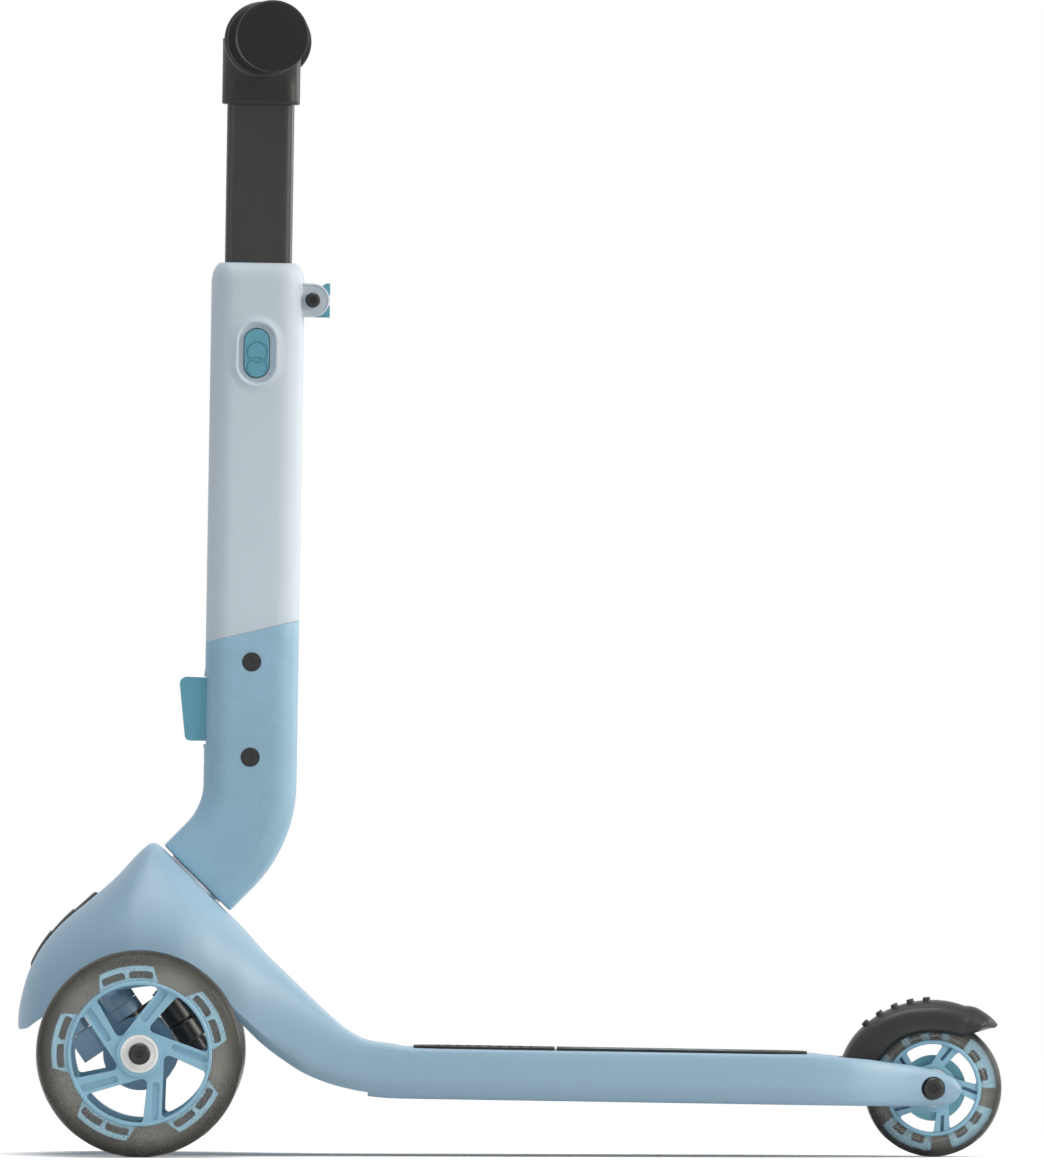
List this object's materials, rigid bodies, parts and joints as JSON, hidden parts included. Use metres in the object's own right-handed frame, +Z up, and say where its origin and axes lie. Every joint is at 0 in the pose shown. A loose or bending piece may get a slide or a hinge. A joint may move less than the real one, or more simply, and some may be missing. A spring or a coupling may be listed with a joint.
{
  "type": "three wheel kids scooter",
  "caption": "Child's kick scooter with leaning front wheels, a braked rear wheel, a low moulded deck and a telescoping T-bar that swivels flat.",
  "frame": {"origin": "on the ground, below the middle of the bounding box", "axes": "+X to the rear, +Y to the rider's right, +Z up; the scooter faces -X"},
  "size_m": [0.5712, 0.2826, 0.6696],
  "materials": {
    "body_plastic": "fine-textured moulded polypropylene, light steel blue",
    "grip_rubber": "ribbed soft rubber, black",
    "teal_plastic": "satin moulded plastic, teal",
    "black_plastic": "fine-textured moulded plastic, black",
    "steel": "zinc plated",
    "dark_steel": "blackened steel",
    "buffer_rubber": "smooth rubber, black",
    "hub_plastic": "satin moulded plastic, grey blue",
    "tyre_rubber": "smoky translucent polyurethane",
    "bearing_seal": "white sealed bearing",
    "elbow_plastic": "fine-grained moulded nylon, deeper steel blue",
    "column_plastic": "satin moulded plastic, bluish white",
    "tube_paint": "satin powder coat, dark grey"
  },
  "bodies": {
    "frame": {"frame_shell": "body_plastic", "deck_grip": "grip_rubber", "deck_inlay": "teal_plastic", "nose_strip": "black_plastic", "swivel_plate": "steel", "swivel_bolt": "steel", "swivel_nut": "steel", "kingpins": "steel", "rear_axle": "dark_steel", "rear_axle_nut": "dark_steel", "rear_spacers": "steel", "fender_pin": "steel"},
    "steer_left": {"knuckle_left": "body_plastic", "lever_plate_left": "dark_steel", "buffers_left": "buffer_rubber", "buffer_bolt_left": "dark_steel", "tie_pin_left": "steel", "axle_left": "dark_steel"},
    "steer_right": {"knuckle_right": "body_plastic", "lever_plate_right": "dark_steel", "buffers_right": "buffer_rubber", "buffer_bolt_right": "dark_steel", "tie_pin_right": "steel", "axle_right": "dark_steel"},
    "tie_rod": {"tie_rod": "body_plastic"},
    "wheel_left": {"hub_left": "hub_plastic", "tyre_left": "tyre_rubber", "bearings_left": "bearing_seal", "wheel_spacer_left": "steel"},
    "wheel_right": {"hub_right": "hub_plastic", "tyre_right": "tyre_rubber", "bearings_right": "bearing_seal", "wheel_spacer_right": "steel"},
    "wheel_rear": {"hub_rear": "hub_plastic", "core_ring_rear": "teal_plastic", "tyre_rear": "tyre_rubber", "bearings_rear": "bearing_seal", "wheel_spacer_rear": "steel"},
    "fender": {"brake_fender": "black_plastic", "brake_plate": "steel", "fender_spring": "steel"},
    "column": {"elbow": "elbow_plastic", "column_sleeve": "column_plastic", "column_bolts": "dark_steel", "guide_bushing": "black_plastic", "clip_bolt": "dark_steel", "lever_pin": "steel", "lever_spring": "steel"},
    "fold_lever": {"fold_lever": "teal_plastic"},
    "lock": {"lock_pin": "steel", "pull_link": "steel"},
    "button": {"height_button": "teal_plastic"},
    "clip": {"rear_clip": "teal_plastic"},
    "bar": {"bar_tube": "tube_paint", "bar_junction": "black_plastic", "handlebar": "tube_paint", "grip_left": "grip_rubber", "grip_right": "grip_rubber"}
  },
  "joints": [
    {"name": "steer_right", "type": "hinge", "parent": "frame", "child": "steer_right", "pos_m": [-0.20904, 0.067, 0.06343], "axis": [-0.5625, 0, 0.8268], "range_deg": [-12, 12], "stiffness_Nm_per_rad": 3},
    {"name": "steer_left", "type": "hinge", "parent": "frame", "child": "steer_left", "pos_m": [-0.20904, -0.067, 0.06343], "axis": [-0.5625, 0, 0.8268], "range_deg": [-12, 12], "stiffness_Nm_per_rad": 3},
    {"name": "tie_rod_pivot", "type": "hinge", "parent": "steer_left", "child": "tie_rod", "pos_m": [-0.252, -0.067, 0.07412], "axis": [-0.5625, 0, 0.8268], "range_deg": [-12, 12]},
    {"name": "wheel_left_spin", "type": "hinge", "parent": "steer_left", "child": "wheel_left", "pos_m": [-0.21409, -0.108, 0.06], "axis": [0, 1, 0], "continuous": true},
    {"name": "wheel_right_spin", "type": "hinge", "parent": "steer_right", "child": "wheel_right", "pos_m": [-0.21409, 0.108, 0.06], "axis": [0, 1, 0], "continuous": true},
    {"name": "wheel_rear_spin", "type": "hinge", "parent": "frame", "child": "wheel_rear", "pos_m": [0.24569, 0, 0.04], "axis": [0, 1, 0], "continuous": true},
    {"name": "brake", "type": "hinge", "parent": "frame", "child": "fender", "pos_m": [0.19681, 0, 0.04946], "axis": [0, 1, 0], "range_deg": [0, 6], "stiffness_Nm_per_rad": 0.6, "springref_deg": -6.88},
    {"name": "fold_swivel", "type": "hinge", "parent": "frame", "child": "column", "pos_m": [-0.18198, 0, 0.16077], "axis": [0.7043, 0, 0.7099], "range_deg": [0, 180]},
    {"name": "fold_lever", "type": "hinge", "parent": "column", "child": "fold_lever", "pos_m": [-0.17342, 0, 0.27197], "axis": [0, -1, 0], "range_deg": [0, 10], "stiffness_Nm_per_rad": 0.5, "springref_deg": -5.73},
    {"name": "lock_slide", "type": "slide", "parent": "column", "child": "lock", "axis": [0.7043, 0, 0.7099], "range_m": [0, 0.0022]},
    {"name": "button_press", "type": "slide", "parent": "column", "child": "button", "axis": [0, 1, 0], "range_m": [0, 0.0025], "stiffness_N_per_m": 400, "springref_m": -0.002},
    {"name": "clip_swing", "type": "hinge", "parent": "column", "child": "clip", "pos_m": [-0.11559, 0, 0.49651], "axis": [0, -1, 0], "range_deg": [0, 55]},
    {"name": "bar_height", "type": "slide", "parent": "column", "child": "bar", "axis": [0.0135, 0, 0.9999], "range_m": [0, 0.1]}
  ],
  "couplings": [
    {"joint": "steer_left", "follows": "steer_right", "ratio": 1},
    {"joint": "tie_rod_pivot", "follows": "steer_right", "ratio": -1},
    {"joint": "lock_slide", "follows": "fold_lever", "m_per_rad": 0.012}
  ]
}
